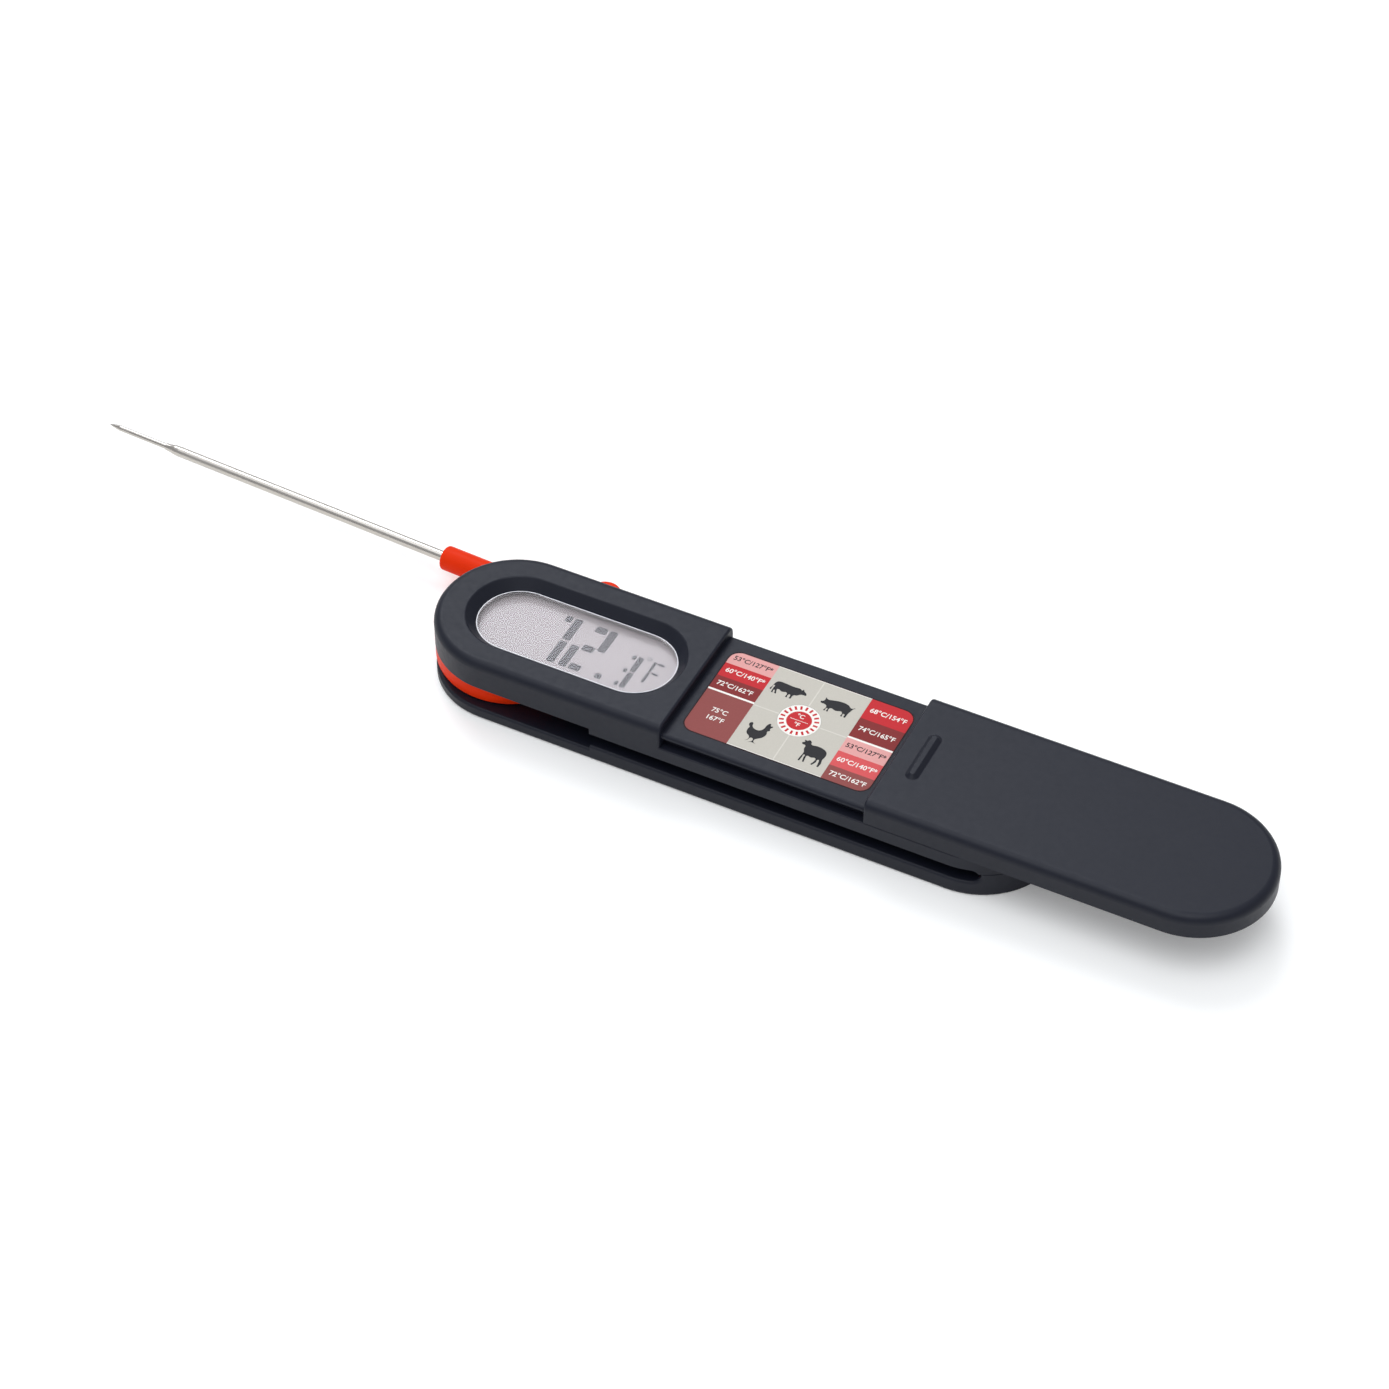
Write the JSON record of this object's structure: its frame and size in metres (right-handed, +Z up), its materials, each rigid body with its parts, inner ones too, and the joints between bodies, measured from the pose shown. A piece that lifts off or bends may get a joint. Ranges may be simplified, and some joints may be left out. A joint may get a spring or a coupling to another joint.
{
  "type": "folding digital meat thermometer",
  "caption": "Folding food thermometer: flat round-ended body with window, swing-out steel probe on a disc hub and a sliding guard cover.",
  "frame": {"origin": "on the resting plane, under the centre of the display end's round end", "axes": "+X along the body to the cover's round end, +Y towards the side the open probe lies on, +Z up out of the display"},
  "size_m": [0.3171, 0.0458, 0.0189],
  "materials": {
    "housing_plastic": "fine matte texture, dark slate blue-grey",
    "hub_plastic": "satin orange-red",
    "door_plastic": "fine matte texture, dark slate",
    "clear_lens": "clear moulded acrylic",
    "seal_rubber": "soft black",
    "display_glass": "grey reflective liquid crystal glass",
    "white_film": "white diffusing film",
    "flex_film": "amber polyimide film",
    "label_print": "printed film, satin",
    "button_plastic": "white satin with a red centre",
    "plated_contact": "nickel plated spring strip",
    "board_laminate": "green solder mask",
    "chip_resin": "black moulding resin",
    "cell_steel": "nickel plated can",
    "screw_steel": "zinc plated",
    "bearing_plastic": "white low friction plastic",
    "switch_glass": "glass tube with plated leads",
    "magnet_metal": "nickel plated magnet",
    "probe_steel": "satin drawn stainless steel",
    "sensor_bead": "epoxy coated bead",
    "lead_wire": "enamelled wire"
  },
  "bodies": {
    "housing": {"lower_housing": "housing_plastic", "upper_housing": "housing_plastic", "bay_plate": "housing_plastic", "display_lens": "clear_lens", "lens_gasket": "seal_rubber", "lcd_panel": "display_glass", "lcd_backing": "white_film", "lcd_flex": "flex_film", "guide_label": "label_print", "dome_switch": "plated_contact", "circuit_board": "board_laminate", "controller_chip": "chip_resin", "board_components": "chip_resin", "battery_cell": "cell_steel", "battery_contact_minus": "plated_contact", "battery_contact_plus": "plated_contact", "case_screws": "screw_steel", "bay_screws": "screw_steel", "pivot_screw": "screw_steel", "pivot_sleeve": "bearing_plastic", "pivot_washer_lower": "bearing_plastic", "pivot_washer_upper": "bearing_plastic", "reed_switch": "switch_glass"},
    "probe_arm": {"probe_hub": "hub_plastic", "probe_tube": "probe_steel", "probe_tip": "probe_steel", "temperature_sensor": "sensor_bead", "sensor_leads": "lead_wire", "hub_magnet": "magnet_metal"},
    "cover": {"sliding_cover": "housing_plastic"},
    "button": {"unit_button": "button_plastic"},
    "door": {"battery_door": "door_plastic", "door_seal": "seal_rubber"}
  },
  "joints": [
    {"name": "probe_fold", "type": "hinge", "parent": "housing", "child": "probe_arm", "pos_m": [-0.0017, 0.002, 0.0065], "axis": [0, 0, 1], "range_deg": [0, 182.68]},
    {"name": "cover_slide", "type": "slide", "parent": "housing", "child": "cover", "axis": [1, 0, 0], "range_m": [-0.0504, 0]},
    {"name": "unit_button_press", "type": "slide", "parent": "housing", "child": "button", "axis": [0, 0, -1], "range_m": [0, 0.00035], "stiffness_N_per_m": 500, "deforming": ["dome_switch"]},
    {"name": "battery_door_turn", "type": "hinge", "parent": "housing", "child": "door", "pos_m": [0.084, 0.003, 0.001], "axis": [0, 0, -1], "range_deg": [0, 50]}
  ]
}
